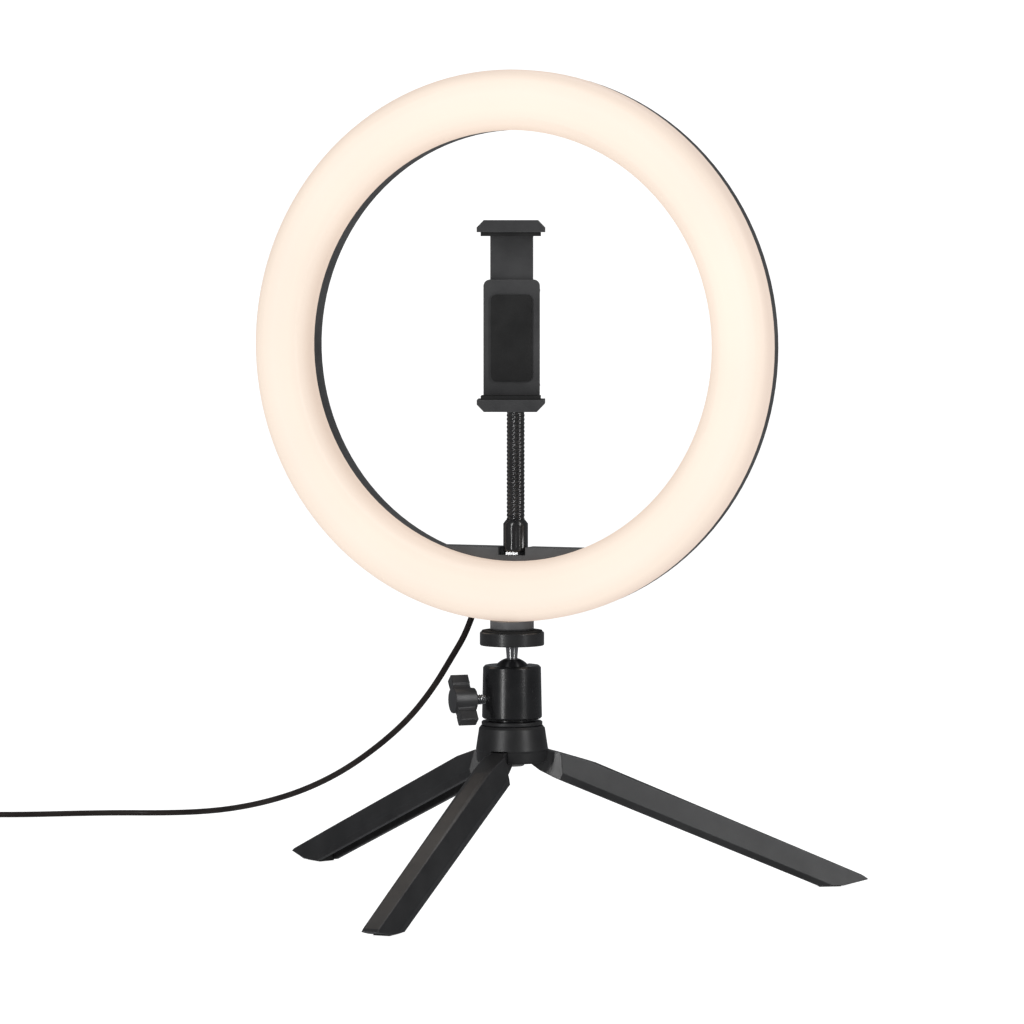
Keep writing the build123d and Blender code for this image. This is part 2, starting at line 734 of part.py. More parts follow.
save(socket_collar, "socket_collar")


def jaw_outline(near, far):
    """Front view of a jaw, from the grip outwards, with its outer corners cut off."""
    corner = far - (far - near) / abs(far - near) * 3.4
    return [
        (-GRIP_WIDTH / 2, near), (-GRIP_WIDTH / 2, corner), (-12.2, far),
        (12.2, far), (GRIP_WIDTH / 2, corner), (GRIP_WIDTH / 2, near),
    ]


LOW_SHELF = GRIP_LOW - PAD_HEIGHT
HIGH_SHELF = GRIP_HIGH + PAD_HEIGHT
BODY_TOP = 17.0
CHANNEL_LOW = -34.0
COVER_SCREWS = [(x, y) for x in (-11.4, 11.4) for y in (-32.0, 12.0)]

with BuildPart() as clamp_body:
    with BuildSketch(holder_face(BODY_Q)):
        with Locations((0, (BODY_TOP + LOW_SHELF) / 2)):
            Rectangle(26, BODY_TOP - LOW_SHELF)
    extrude(amount=BODY_FACE_Q - BODY_Q)
    fillet(clamp_body.faces().sort_by(Axis.Z)[-1].edges().filter_by(Axis(NECK_FOOT, forward)), radius=3)
    with BuildSketch(holder_face(BODY_Q)):
        with BuildLine():
            Polyline(jaw_outline(LOW_SHELF, LOW_SHELF - JAW_HEIGHT), close=True)
        make_face()
    extrude(amount=JAW_TIP_Q - BODY_Q)
    with BuildSketch(holder_face(BODY_Q)):
        with Locations((0, (BODY_TOP + 4 + CHANNEL_LOW) / 2)):
            Rectangle(2 * ARM_HALF_W + 0.2, BODY_TOP + 4 - CHANNEL_LOW)
    extrude(amount=4.9, mode=Mode.SUBTRACT)
    with BuildSketch(holder_face(BODY_Q)):
        with Locations(*COVER_SCREWS):
            Circle(0.9)
    extrude(amount=4.0, mode=Mode.SUBTRACT)
save(clamp_body, "clamp_body")

with BuildPart() as back_cover:
    with BuildSketch(holder_face(COVER_Q)):
        with Locations((0, -10)):
            RectangleRounded(25, 52, 2.5)
    extrude(amount=BODY_Q - COVER_Q)
    with BuildSketch(holder_face(COVER_Q)):
        Circle(SOCKET_BALL_R - 0.05)
    extrude(amount=-2.4)
    with BuildSketch(holder_face(COVER_Q)):
        with Locations(*COVER_SCREWS):
            Circle(0.9)
    extrude(amount=2.0, mode=Mode.SUBTRACT)
    with BuildSketch(holder_face(COVER_Q)):
        with Locations(*COVER_SCREWS):
            Circle(1.7)
    extrude(amount=0.8, mode=Mode.SUBTRACT)
save(back_cover, "back_cover")

with BuildPart() as cover_screws:
    with BuildSketch(holder_face(COVER_Q)):
        with Locations(*COVER_SCREWS):
            Circle(1.7)
    extrude(amount=0.8)
    with BuildSketch(holder_face(COVER_Q)):
        with Locations(*COVER_SCREWS):
            Circle(0.9)
    extrude(amount=5.8)
save(cover_screws, "cover_screws")

with BuildPart() as back_pad:
    with BuildSketch(holder_face(BODY_FACE_Q)):
        with Locations((0, -10)):
            RectangleRounded(19, 40, 2.5)
    extrude(amount=1.0)
save(back_pad, "back_pad")

with BuildPart() as lower_pad:
    with BuildSketch(holder_face(BODY_FACE_Q + 0.6)):
        with Locations((0, LOW_SHELF + PAD_HEIGHT / 2)):
            Rectangle(27.4, PAD_HEIGHT)
    extrude(amount=JAW_TIP_Q - 1.0 - BODY_FACE_Q - 0.6)
save(lower_pad, "lower_pad")

with BuildPart() as upper_jaw:
    with BuildSketch(holder_face(BODY_Q + 0.1)):
        with BuildLine():
            Polyline(jaw_outline(HIGH_SHELF, HIGH_SHELF + JAW_HEIGHT), close=True)
        make_face()
    extrude(amount=JAW_TIP_Q - BODY_Q - 0.1)
    with BuildSketch(holder_face(BODY_Q + 0.1)):
        with Locations((0, (HIGH_SHELF + 1 - 13) / 2)):
            Rectangle(2 * ARM_HALF_W, HIGH_SHELF + 1 + 13)
    extrude(amount=4.7)
save(upper_jaw, "upper_jaw")

with BuildPart() as upper_pad:
    with BuildSketch(holder_face(BODY_FACE_Q + 0.6)):
        with Locations((0, HIGH_SHELF - PAD_HEIGHT / 2)):
            Rectangle(27.4, PAD_HEIGHT)
    extrude(amount=JAW_TIP_Q - 1.0 - BODY_FACE_Q - 0.6)
save(upper_pad, "upper_pad")

with BuildPart() as clamp_spring:
    with BuildSketch(Plane(origin=holder_face(52.5).origin + Vector(0, 0, CHANNEL_LOW), x_dir=right)):
        Circle(2.1)
        Circle(1.3, mode=Mode.SUBTRACT)
    extrude(amount=-13 - CHANNEL_LOW)
save(clamp_spring, "clamp_spring")

# ---------------------------------------------------------------- lead
CORD_ROUTE = [              # from the strain relief down to the surface and away to the coil
    (-25.6, 14.0, 131.4), (-29.0, 14.0, 122.0), (-39.3, 21.6, 109.8), (-54.2, 33.5, 92.8),
    (-74.7, 51.2, 75.1), (-100.3, 72.3, 58.5), (-131.3, 98.8, 42.0), (-165.8, 128.1, 28.0),
    (-200.9, 157.3, 17.3), (-234.3, 185.0, 9.4), (-263.8, 206.5, 4.3), (-290.4, 216.8, 1.5),
    (-311.0, 210.0, 1.5), (-330.5, 199.0, 1.5), (-348.4, 187.0, 1.5), (-365.5, 178.6, 1.5),
    (-377.8, 176.3, 1.5), (-392.4, 172.2, 1.5), (-404.9, 168.3, 1.5), (-414.2, 164.8, 1.5),
]
TAIL_ROUTE = [              # from the top of the coil to the inline control
    (-430.0, 137.5, 11.4), (-427.1, 129.5, 11.4), (-423.9, 120.0, 9.3), (-420.0, 110.8, 6.6),
    (-416.5, 102.5, 5.8),
]
END_ROUTE = [               # from the inline control to the plug
    (-390.2, 35.5, 5.8), (-386.9, 27.1, 5.2), (-382.3, 19.2, 4.3), (-377.1, 12.1, 3.8),
    (-373.0, 4.6, 3.8),
]
COIL_AT = (-411.7, 144.7)
COIL_INNER_R = 11.9
COIL_OUTER_R = 21.1
COIL_LOW_Z = 0.1
COIL_HEIGHT = 12.6


def cord_tube(route, name):
    """A round tube along a route of straight runs joined by tangent arcs."""
    points = [Vector(x, AXIS_Y + y, z) for x, y, z in route]
    radii = []
    for before, here, after in zip(points, points[1:], points[2:]):
        turn = radians((here - before).get_angle(after - here))
        shorter = min((here - before).length, (after - here).length)
        radii.append(0.45 * shorter / tan(turn / 2))
    print(name, "bend radii", [round(r, 1) for r in radii])
    with BuildPart() as tube:
        with BuildLine() as path:
            FilletPolyline(*points, radius=radii)
        with BuildSketch(Plane(origin=points[0], z_dir=points[1] - points[0])):
            Circle(CORD_R)
        sweep(path=path.line)
    length = sum(edge.length for edge in path.edges())
    share = tube.part.volume / (pi * CORD_R**2 * length)
    print(name, "length", round(length, 1), "volume share", round(share, 4))
    save(tube, name)


cord_tube(CORD_ROUTE, "usb_cord")
cord_tube(TAIL_ROUTE, "cord_tail")
cord_tube(END_ROUTE, "cord_end")

with BuildPart() as cord_coil:
    with BuildSketch(Plane(origin=(COIL_AT[0], AXIS_Y + COIL_AT[1], COIL_LOW_Z))):
        Circle(COIL_OUTER_R)
        Circle(COIL_INNER_R, mode=Mode.SUBTRACT)
    extrude(amount=COIL_HEIGHT)
save(cord_coil, "cord_coil")

# ---------------------------------------------------------------- inline control
REMOTE_WIDTH = 20.0
REMOTE_SPLIT_Z = 5.8
REMOTE_TOP_Z = 11.2
REMOTE_WALL = 1.6
REMOTE_FAR = Vector(-416.5, AXIS_Y + 102.5, 0)
REMOTE_NEAR = Vector(-390.2, AXIS_Y + 35.5, 0)
remote_along = (REMOTE_NEAR - REMOTE_FAR).normalized()
remote_middle = (REMOTE_NEAR + REMOTE_FAR) * 0.5
remote_length = (REMOTE_NEAR - REMOTE_FAR).length
BUTTON_R = 3.4
BUTTONS = {"power_button": -22.0, "mode_button": -8.0}
ROCKER_AT = 16.0


def remote_level(z):
    """Horizontal plane in the inline control, x along it from its middle."""
    return Plane(origin=remote_middle + Vector(0, 0, z), x_dir=remote_along, z_dir=(0, 0, 1))


with BuildPart() as remote_lower:
    with BuildSketch(remote_level(0)):
        RectangleRounded(remote_length, REMOTE_WIDTH, 5)
    extrude(amount=REMOTE_SPLIT_Z)
    chamfer(remote_lower.faces().sort_by(Axis.Z)[0].edges(), length=1.0)
    with BuildSketch(remote_level(REMOTE_WALL)):
        RectangleRounded(remote_length - 2 * REMOTE_WALL, REMOTE_WIDTH - 2 * REMOTE_WALL, 3.6)
    extrude(amount=REMOTE_SPLIT_Z, mode=Mode.SUBTRACT)
    with BuildSketch(remote_level(REMOTE_WALL)):
        with Locations((-26, 0), (26, 0)):
            Circle(2.4)
    extrude(amount=2.2)
save(remote_lower, "remote_lower")

with BuildPart() as remote_upper:
    with BuildSketch(remote_level(REMOTE_SPLIT_Z + 0.05)):
        RectangleRounded(remote_length, REMOTE_WIDTH, 5)
    extrude(amount=REMOTE_TOP_Z - REMOTE_SPLIT_Z - 0.05)
    chamfer(remote_upper.faces().sort_by(Axis.Z)[-1].edges(), length=1.2)
    with BuildSketch(remote_level(REMOTE_SPLIT_Z)):
        RectangleRounded(remote_length - 2 * REMOTE_WALL, REMOTE_WIDTH - 2 * REMOTE_WALL, 3.6)
    extrude(amount=REMOTE_TOP_Z - REMOTE_WALL - REMOTE_SPLIT_Z, mode=Mode.SUBTRACT)
    with BuildSketch(remote_level(REMOTE_SPLIT_Z)):
        with Locations(*[(x, 0) for x in BUTTONS.values()]):
            Circle(BUTTON_R + RUN_FIT)
        with Locations((ROCKER_AT, 0)):
            RectangleRounded(20.4, 7.4, 3.5)
    extrude(amount=REMOTE_TOP_Z, mode=Mode.SUBTRACT)
save(remote_upper, "remote_upper")

with BuildPart() as remote_board:
    with BuildSketch(remote_level(REMOTE_WALL + 2.2)):
        Rectangle(62, 15)
    extrude(amount=1.2)
save(remote_board, "remote_board")

BUTTON_LOW_Z = 6.4
BUTTON_TOP_Z = 12.0
for name, place in BUTTONS.items():
    with BuildPart() as button:
        with BuildSketch(remote_level(BUTTON_LOW_Z)):
            with Locations((place, 0)):
                Circle(BUTTON_R + 1.0)
        extrude(amount=1.2)
        with BuildSketch(remote_level(BUTTON_LOW_Z)):
            with Locations((place, 0)):
                Circle(BUTTON_R)
        extrude(amount=BUTTON_TOP_Z - BUTTON_LOW_Z)
        chamfer(button.faces().sort_by(Axis.Z)[-1].edges(), length=0.5)
    save(button, name)

with BuildPart() as brightness_rocker:
    with BuildSketch(remote_level(BUTTON_LOW_Z + 1.2)):
        with Locations((ROCKER_AT, 0)):
            RectangleRounded(19.8, 6.8, 3.3)
    extrude(amount=BUTTON_TOP_Z - BUTTON_LOW_Z - 1.2)
    chamfer(brightness_rocker.faces().sort_by(Axis.Z)[-1].edges(), length=0.5)
save(brightness_rocker, "brightness_rocker")

# ---------------------------------------------------------------- plug
PLUG_START = Vector(-373.0, AXIS_Y + 4.6, 3.8)
plug_along = (PLUG_START - Vector(-377.1, AXIS_Y + 12.1, 3.8)).normalized()


def plug_plane(distance):
    """Plane across the plug, this far from the end of the cord."""
    return Plane(origin=PLUG_START + plug_along * distance, x_dir=(-plug_along.Y, plug_along.X, 0), z_dir=plug_along)


with BuildPart() as usb_plug_body:
    with BuildSketch(plug_plane(0)):
        Circle(2.1)
    with BuildSketch(plug_plane(9)):
        Circle(2.9)
    loft()
    with BuildSketch(plug_plane(9)):
        RectangleRounded(15.4, 7.4, 2.2)
    extrude(amount=20)
    with BuildSketch(plug_plane(25)):
        Rectangle(12.0, 4.5)
    extrude(amount=6, mode=Mode.SUBTRACT)
save(usb_plug_body, "usb_plug_body")

with BuildPart() as usb_plug_shell:
    with BuildSketch(plug_plane(25)):
        Rectangle(12.0, 4.5)
    extrude(amount=16)
    with BuildSketch(plug_plane(27)):
        Rectangle(11.4, 3.9)
        with Locations((0, -0.9)):
            Rectangle(11.4, 1.9, mode=Mode.SUBTRACT)
    extrude(amount=14, mode=Mode.SUBTRACT)
save(usb_plug_shell, "usb_plug_shell")
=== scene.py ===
"""Looks of the ring light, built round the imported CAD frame.  Metres, +Z up, the light faces -Y."""
import json
from math import cos, pi, radians, sin

import bmesh
import bpy
from mathutils import Matrix, Vector


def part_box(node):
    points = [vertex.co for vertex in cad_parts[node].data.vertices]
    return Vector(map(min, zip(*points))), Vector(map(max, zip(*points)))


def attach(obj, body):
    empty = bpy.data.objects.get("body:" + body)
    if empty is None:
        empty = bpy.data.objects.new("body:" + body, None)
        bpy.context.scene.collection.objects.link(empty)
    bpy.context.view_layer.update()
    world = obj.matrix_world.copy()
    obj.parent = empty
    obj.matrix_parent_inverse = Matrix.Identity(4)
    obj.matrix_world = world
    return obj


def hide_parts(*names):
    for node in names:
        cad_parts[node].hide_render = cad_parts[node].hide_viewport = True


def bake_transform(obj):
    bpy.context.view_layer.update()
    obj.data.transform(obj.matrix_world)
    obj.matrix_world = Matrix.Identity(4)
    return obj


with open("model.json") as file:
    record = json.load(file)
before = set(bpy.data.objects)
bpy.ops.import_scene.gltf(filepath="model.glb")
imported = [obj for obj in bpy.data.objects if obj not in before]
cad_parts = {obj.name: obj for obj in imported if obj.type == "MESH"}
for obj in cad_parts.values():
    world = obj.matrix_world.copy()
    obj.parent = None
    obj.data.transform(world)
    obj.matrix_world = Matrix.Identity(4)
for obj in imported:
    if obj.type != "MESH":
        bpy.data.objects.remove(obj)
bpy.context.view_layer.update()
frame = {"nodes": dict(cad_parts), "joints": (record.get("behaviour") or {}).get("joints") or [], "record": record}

MM = 0.001
NODES = frame["nodes"]
JOINTS = {joint["name"]: joint for joint in frame["joints"]}
AXIS_Y = JOINTS["head_pan"]["pos_m"][1]
RING_CENTRE_Z = 0.260
HOLDER_TURN = radians(19.5)     # the gooseneck's bend and the clamp face this far right of the light
RIGHT = Vector((cos(HOLDER_TURN), sin(HOLDER_TURN), 0))
FORWARD = Vector((sin(HOLDER_TURN), -cos(HOLDER_TURN), 0))
UP = Vector((0, 0, 1))


def from_axis(x, y, z):
    """Point given in millimetres from where the head's axis meets the floor."""
    return Vector((x * MM, AXIS_Y + y * MM, z * MM))


# ---------------------------------------------------------------- node helpers
def grey(level, blue=None):
    """Grey, or a slightly cold one whose blue channel is given."""
    return (level, level, level if blue is None else blue)


class Nodes:
    """A material's node tree, with short ways to add and join nodes."""

    def __init__(self, name):
        self.material = bpy.data.materials.new(name)
        self.material.use_nodes = True
        self.tree = self.material.node_tree
        self.tree.nodes.clear()
        self.output = self.add("ShaderNodeOutputMaterial")
        self.shader = self.add("ShaderNodeBsdfPrincipled")
        self.join(self.shader, "BSDF", self.output, "Surface")

    def add(self, kind, **values):
        node = self.tree.nodes.new(kind)
        for key, value in values.items():
            setattr(node, key, value)
        return node

    def join(self, source, out, target, into):
        self.tree.links.new(source.outputs[out], target.inputs[into])

    def set(self, **values):
        for key, value in values.items():
            self.shader.inputs[key.replace("_", " ")].default_value = value

    def place(self):
        """Object coordinates: the row frame in metres, carried along with each body."""
        return self.add("ShaderNodeTexCoord")

    def noise(self, scale, detail=3.0, roughness=0.55, stretch=None):
        """Noise in object coordinates; scale is in features per metre."""
        here = self.place()
        noise = self.add("ShaderNodeTexNoise")
        noise.inputs["Scale"].default_value = scale
        noise.inputs["Detail"].default_value = detail
        noise.inputs["Roughness"].default_value = roughness
        if stretch is None:
            self.join(here, "Object", noise, "Vector")
        else:
            mapping = self.add("ShaderNodeMapping")
            mapping.inputs["Scale"].default_value = stretch
            self.join(here, "Object", mapping, "Vector")
            self.join(mapping, "Vector", noise, "Vector")
        return noise

    def ramp(self, source, out, stops):
        ramp = self.add("ShaderNodeValToRGB")
        elements = ramp.color_ramp.elements
        while len(elements) < len(stops):
            elements.new(0.5)
        for element, (position, colour) in zip(elements, stops):
            element.position = position
            element.color = (*colour, 1)
        self.join(source, out, ramp, "Fac")
        return ramp

    def spread(self, source, out, low, high):
        """Map 0.3 to 0.7, where noise mostly lies, onto low to high."""
        node = self.add("ShaderNodeMapRange")
        node.inputs["From Min"].default_value = 0.3
        node.inputs["From Max"].default_value = 0.7
        node.inputs["To Min"].default_value = low
        node.inputs["To Max"].default_value = high
        self.join(source, out, node, "Value")
        return node

    def bump(self, source, out, height, edge=None):
        """Bump of that height in metres, over edges rounded by a radius in metres."""
        bump = self.add("ShaderNodeBump")
        bump.inputs["Distance"].default_value = height
        self.join(source, out, bump, "Height")
        if edge:
            bevel = self.add("ShaderNodeBevel", samples=6)
            bevel.inputs["Radius"].default_value = edge
            self.join(bevel, "Normal", bump, "Normal")
        self.join(bump, "Normal", self.shader, "Normal")
        return bump


def edge_mask(nodes, radius, gain):
    """1 along convex and concave edges, 0 on open faces."""
    bevel = nodes.add("ShaderNodeBevel", samples=6)
    bevel.inputs["Radius"].default_value = radius
    face = nodes.add("ShaderNodeNewGeometry")
    dot = nodes.add("ShaderNodeVectorMath", operation="DOT_PRODUCT")
    nodes.join(bevel, "Normal", dot, 0)
    nodes.join(face, "Normal", dot, 1)
    away = nodes.add("ShaderNodeMath", operation="SUBTRACT")
    away.inputs[0].default_value = 1.0
    nodes.tree.links.new(dot.outputs["Value"], away.inputs[1])
    mask = nodes.add("ShaderNodeMath", operation="MULTIPLY", use_clamp=True)
    mask.inputs[1].default_value = gain
    nodes.tree.links.new(away.outputs[0], mask.inputs[0])
    return mask


def moulded(
    name, dark, light, rough, grain=2600, depth=0.02 * MM, edge=0.3 * MM, edge_highlight=None, gloss=0.2,
):
    """Moulded or coated surface with fine grain, slight colour drift and softened edges.

    grain is in features per metre, depth is the grain's height and edge the radius of the edges,
    both in metres.  The colour for the edges, if given, is a painted highlight laid along them and broken up by
    noise, standing in for the light that the edges catch.
    """
    nodes = Nodes(name)
    drift = nodes.noise(55, 4)
    colour = nodes.ramp(drift, "Fac", [(0.35, dark), (0.65, light)])
    # Painted highlight: the edges are lightened towards the given colour, in patches.
    if edge_highlight:
        mask = edge_mask(nodes, edge * 1.6, 3.0)
        broken = nodes.noise(900, 3)
        strength = nodes.add("ShaderNodeMath", operation="MULTIPLY", use_clamp=True)
        nodes.join(mask, "Value", strength, 0)
        nodes.join(broken, "Fac", strength, 1)
        mix = nodes.add("ShaderNodeMix", data_type="RGBA")
        mix.inputs["B"].default_value = (*edge_highlight, 1)
        nodes.join(strength, "Value", mix, "Factor")
        nodes.tree.links.new(colour.outputs["Color"], mix.inputs["A"])
        nodes.tree.links.new(mix.outputs["Result"], nodes.shader.inputs["Base Color"])
    else:
        nodes.join(colour, "Color", nodes.shader, "Base Color")
    fine = nodes.noise(grain, 2, 0.6)
    roughness = nodes.spread(nodes.noise(140, 3), "Fac", rough - 0.04, rough + 0.04)
    nodes.join(roughness, "Result", nodes.shader, "Roughness")
    nodes.set(Specular_IOR_Level=gloss)
    nodes.bump(fine, "Fac", depth, edge)
    return nodes.material


def metal(name, colour, rough, stretch=(1, 1, 40), depth=0.004 * MM, edge=0.12 * MM):
    """Turned or plated metal with fine marks along one direction."""
    nodes = Nodes(name)
    marks = nodes.noise(900, 3, 0.6, stretch)
    tone = nodes.ramp(marks, "Fac", [(0.3, tuple(c * 0.86 for c in colour)), (0.7, colour)])
    nodes.join(tone, "Color", nodes.shader, "Base Color")
    roughness = nodes.spread(marks, "Fac", rough * 0.75, rough * 1.3)
    nodes.join(roughness, "Result", nodes.shader, "Roughness")
    nodes.set(Metallic=1.0)
    nodes.bump(marks, "Fac", depth, edge)
    return nodes.material


# ---------------------------------------------------------------- materials
GLOW_INNER_R = 0.1020
GLOW_OUTER_R = 0.1305
STEM_FOOT_Z = (0.1113, 0.1116)      # the chrome begins between these heights


def diffuser_material():
    """Lit opal plastic: bright over the light-emitting diodes, warmer and dimmer round its rims."""
    nodes = Nodes("opal_diffuser")
    here = nodes.place()
    flat = nodes.add("ShaderNodeMapping")
    flat.inputs["Location"].default_value = (0, 0, -RING_CENTRE_Z)
    flat.inputs["Scale"].default_value = (1, 0, 1)
    nodes.join(here, "Object", flat, "Vector")
    length = nodes.add("ShaderNodeVectorMath", operation="LENGTH")
    nodes.join(flat, "Vector", length, 0)
    across = nodes.add("ShaderNodeMapRange")
    across.inputs["From Min"].default_value = GLOW_INNER_R
    across.inputs["From Max"].default_value = GLOW_OUTER_R
    nodes.join(length, "Value", across, "Value")
    glow = nodes.ramp(
        across, "Result",
        [
            (0.0, (0.86, 0.68, 0.56)), (0.10, (0.95, 0.79, 0.67)), (0.35, (1.0, 0.87, 0.74)),
            (0.62, (1.0, 0.87, 0.75)), (0.88, (0.95, 0.80, 0.68)), (1.0, (0.82, 0.66, 0.56)),
        ],
    )
    patches = nodes.spread(nodes.noise(9, 2), "Fac", 0.95, 1.03)
    light = nodes.add("ShaderNodeVectorMath", operation="SCALE")
    nodes.join(glow, "Color", light, 0)
    nodes.join(patches, "Result", light, "Scale")
    nodes.join(light, "Vector", nodes.shader, "Emission Color")
    nodes.set(Base_Color=(0.24, 0.21, 0.18, 1), Roughness=0.4)
    nodes.set(Emission_Strength=0.75, Specular_IOR_Level=0.2)
    nodes.bump(nodes.noise(700, 2), "Fac", 0.006 * MM, 0.25 * MM)
    return nodes.material


def ball_material():
    """Chromed stem over a black-coated ball, turned, so that highlights stretch along the axis."""
    nodes = Nodes("stem_chrome_and_ball")
    here = nodes.place()
    split = nodes.add("ShaderNodeSeparateXYZ")
    nodes.join(here, "Object", split, "Vector")
    step = nodes.add("ShaderNodeMapRange")
    step.inputs["From Min"].default_value = STEM_FOOT_Z[0]
    step.inputs["From Max"].default_value = STEM_FOOT_Z[1]
    nodes.join(split, "Z", step, "Value")
    tone = nodes.ramp(step, "Result", [(0.0, grey(0.010, 0.011)), (1.0, grey(0.55, 0.555))])
    nodes.join(tone, "Color", nodes.shader, "Base Color")
    nodes.join(step, "Result", nodes.shader, "Metallic")
    marks = nodes.noise(600, 3, 0.6, (1, 1, 30))
    roughness = nodes.spread(marks, "Fac", 0.28, 0.36)
    nodes.join(roughness, "Result", nodes.shader, "Roughness")
    around = nodes.add("ShaderNodeTangent", direction_type="RADIAL", axis="Z")
    nodes.join(around, "Tangent", nodes.shader, "Tangent")
    nodes.set(Anisotropic=0.95, Anisotropic_Rotation=0.25)
    nodes.bump(marks, "Fac", 0.003 * MM, 0.15 * MM)
    return nodes.material


M = {
    # Legs: painted highlight, their ridges and edges lightened in colour.
    "leg_black": moulded(
        "leg_satin_black", grey(0.012, 0.0125), grey(0.019, 0.0195), 0.36,
        grain=2600, depth=0.014 * MM, edge=0.7 * MM, edge_highlight=grey(0.09, 0.092), gloss=0.5,
    ),
    "rubber_black": moulded("matt_rubber", grey(0.010), grey(0.016), 0.72, 1500, 0.05 * MM),
    "hub_black": moulded(
        "hub_moulding", grey(0.010, 0.0105), grey(0.015, 0.0155), 0.38,
        grain=2600, depth=0.014 * MM, edge=0.4 * MM, gloss=0.4,
    ),
    "cap_black": moulded("cap_moulding", grey(0.10), grey(0.14), 0.5),
    "steel": metal("zinc_steel", grey(0.60), 0.2),
    "chrome": ball_material(),
    "chrome_plain": metal("chrome_turned", grey(0.80, 0.81), 0.12),
    "head_black": moulded(
        "head_gloss_black", grey(0.005, 0.0055), grey(0.008, 0.0085), 0.24,
        grain=1500, depth=0.0006 * MM, edge=0.35 * MM, gloss=0.6,
    ),
    "disc_black": moulded(
        "disc_coating", grey(0.012, 0.0125), grey(0.018, 0.0185), 0.3,
        grain=1800, depth=0.006 * MM, edge=0.3 * MM, gloss=0.5,
    ),
    "nylon_white": moulded("nylon", (0.62, 0.61, 0.57), (0.72, 0.71, 0.67), 0.5),
    "knob_black": moulded(
        "knob_moulding", grey(0.020, 0.021), grey(0.029, 0.030), 0.34, 2200, 0.018 * MM, gloss=0.4,
    ),
    "shell_black": moulded(
        "shell_moulding", grey(0.050, 0.051), grey(0.065, 0.066), 0.45, 3000, 0.03 * MM, gloss=0.3,
    ),
    "diffuser_cream": diffuser_material(),
    "board_white": moulded(
        "white_board", grey(0.75, 0.73), grey(0.84, 0.82), 0.4, 900, 0.01 * MM, None,
    ),
    "led_warm": moulded(
        "warm_phosphor", (0.85, 0.60, 0.20), (0.95, 0.72, 0.30), 0.35, 1800, 0.02 * MM, None,
    ),
    "led_cool": moulded(
        "cool_phosphor", (0.88, 0.86, 0.66), (0.95, 0.93, 0.76), 0.35, 1800, 0.02 * MM, None,
    ),
    "foot_grey": moulded(
        "foot_moulding", grey(0.085, 0.087), grey(0.115, 0.117), 0.42, 1800, 0.02 * MM,
    ),
    "brass": metal("turned_brass", (0.72, 0.52, 0.24), 0.3),
    "cord_dark": moulded(
        "cord_jacket", (0.012, 0.009, 0.008), (0.022, 0.017, 0.015), 0.40, 1400, 0.02 * MM, None,
    ),
    "neck_black": moulded(
        "gooseneck_cover", grey(0.008), grey(0.013), 0.2, 1800, 0.006 * MM, None, gloss=0.9,
    ),
    "ferrule_black": moulded(
        "ferrule_coating", grey(0.009), grey(0.014), 0.22, 1800, 0.006 * MM, 0.25 * MM, gloss=0.7,
    ),
    # Clamp: painted highlight, its edges lightened in colour.
    "clamp_grey": moulded(
        "clamp_moulding", grey(0.031, 0.032), grey(0.044, 0.045), 0.48,
        grain=2400, depth=0.03 * MM, edge=0.35 * MM, edge_highlight=grey(0.12),
    ),
    "remote_black": moulded(
        "control_moulding", grey(0.012, 0.013), grey(0.019, 0.020), 0.45, 2800, 0.03 * MM,
    ),
    "board_green": moulded(
        "green_board", (0.02, 0.10, 0.04), (0.03, 0.16, 0.07), 0.35, 900, 0.01 * MM, None,
    ),
    "button_grey": moulded(
        "silicone_key", grey(0.07, 0.072), grey(0.10, 0.102), 0.6, 1800, 0.03 * MM, 0.4 * MM,
    ),
    "plug_metal": metal("nickel_plate", (0.70, 0.69, 0.66), 0.22, (30, 30, 1)),
}


def finish_cad_nodes():
    """Give every CAD node its slot's material, but for two, and smooth shading up to its real edges."""
    slots = {entry["node"]: entry["material_slot"] for entry in frame["record"]["subparts"]}
    for name, node in NODES.items():
        node.data.materials.clear()
        node.data.materials.append(M[slots[name]])
        node.data.set_sharp_from_angle(angle=radians(32))
    NODES["upper_ferrule"].data.materials[0] = M["chrome_plain"]
    NODES["lock_disc"].data.materials[0] = M["disc_black"]


# ---------------------------------------------------------------- mesh helpers
def new_object(name, data):
    piece = bpy.data.objects.new(name, data)
    bpy.context.scene.collection.objects.link(piece)
    return piece


def mesh_object(name, points, faces, material):
    mesh = bpy.data.meshes.new(name)
    mesh.from_pydata([tuple(p) for p in points], [], faces)
    mesh.validate()
    mesh.update()
    for polygon in mesh.polygons:
        polygon.use_smooth = True
    piece = new_object(name, mesh)
    mesh.materials.append(material)
    return piece


def frames_along(line):
    """Directions across a line at each of its points, carried along without twist."""
    tangents = []
    last = len(line) - 1
    for i in range(last + 1):
        tangents.append((line[min(i + 1, last)] - line[max(i - 1, 0)]).normalized())
    side = tangents[0].cross(UP)
    if side.length < 0.2:
        side = tangents[0].cross(Vector((0, 1, 0)))
    side.normalize()
    result = []
    for tangent in tangents:
        side = (side - tangent * side.dot(tangent)).normalized()
        result.append((side, tangent.cross(side)))
    return result


def tube(name, line, radius, material, sides):
    """Closed skin round a line; radius(i, angle) gives its distance from the line in metres."""
    crosses = frames_along(line)
    points = []
    faces = []
    for i, (centre, (a, b)) in enumerate(zip(line, crosses)):
        for k in range(sides):
            angle = 2 * pi * k / sides
            points.append(centre + (a * cos(angle) + b * sin(angle)) * radius(i, angle))
    for i in range(len(line) - 1):
        for k in range(sides):
            m = (k + 1) % sides
            faces.append((i * sides + k, i * sides + m, (i + 1) * sides + m, (i + 1) * sides + k))
    faces.append(tuple(reversed(range(sides))))
    faces.append(tuple(range((len(line) - 1) * sides, len(line) * sides)))
    piece = mesh_object(name, points, faces, material)
    piece.data.set_sharp_from_angle(angle=radians(50))
    return piece


def length_of(line):
    return sum((b - a).length for a, b in zip(line, line[1:]))


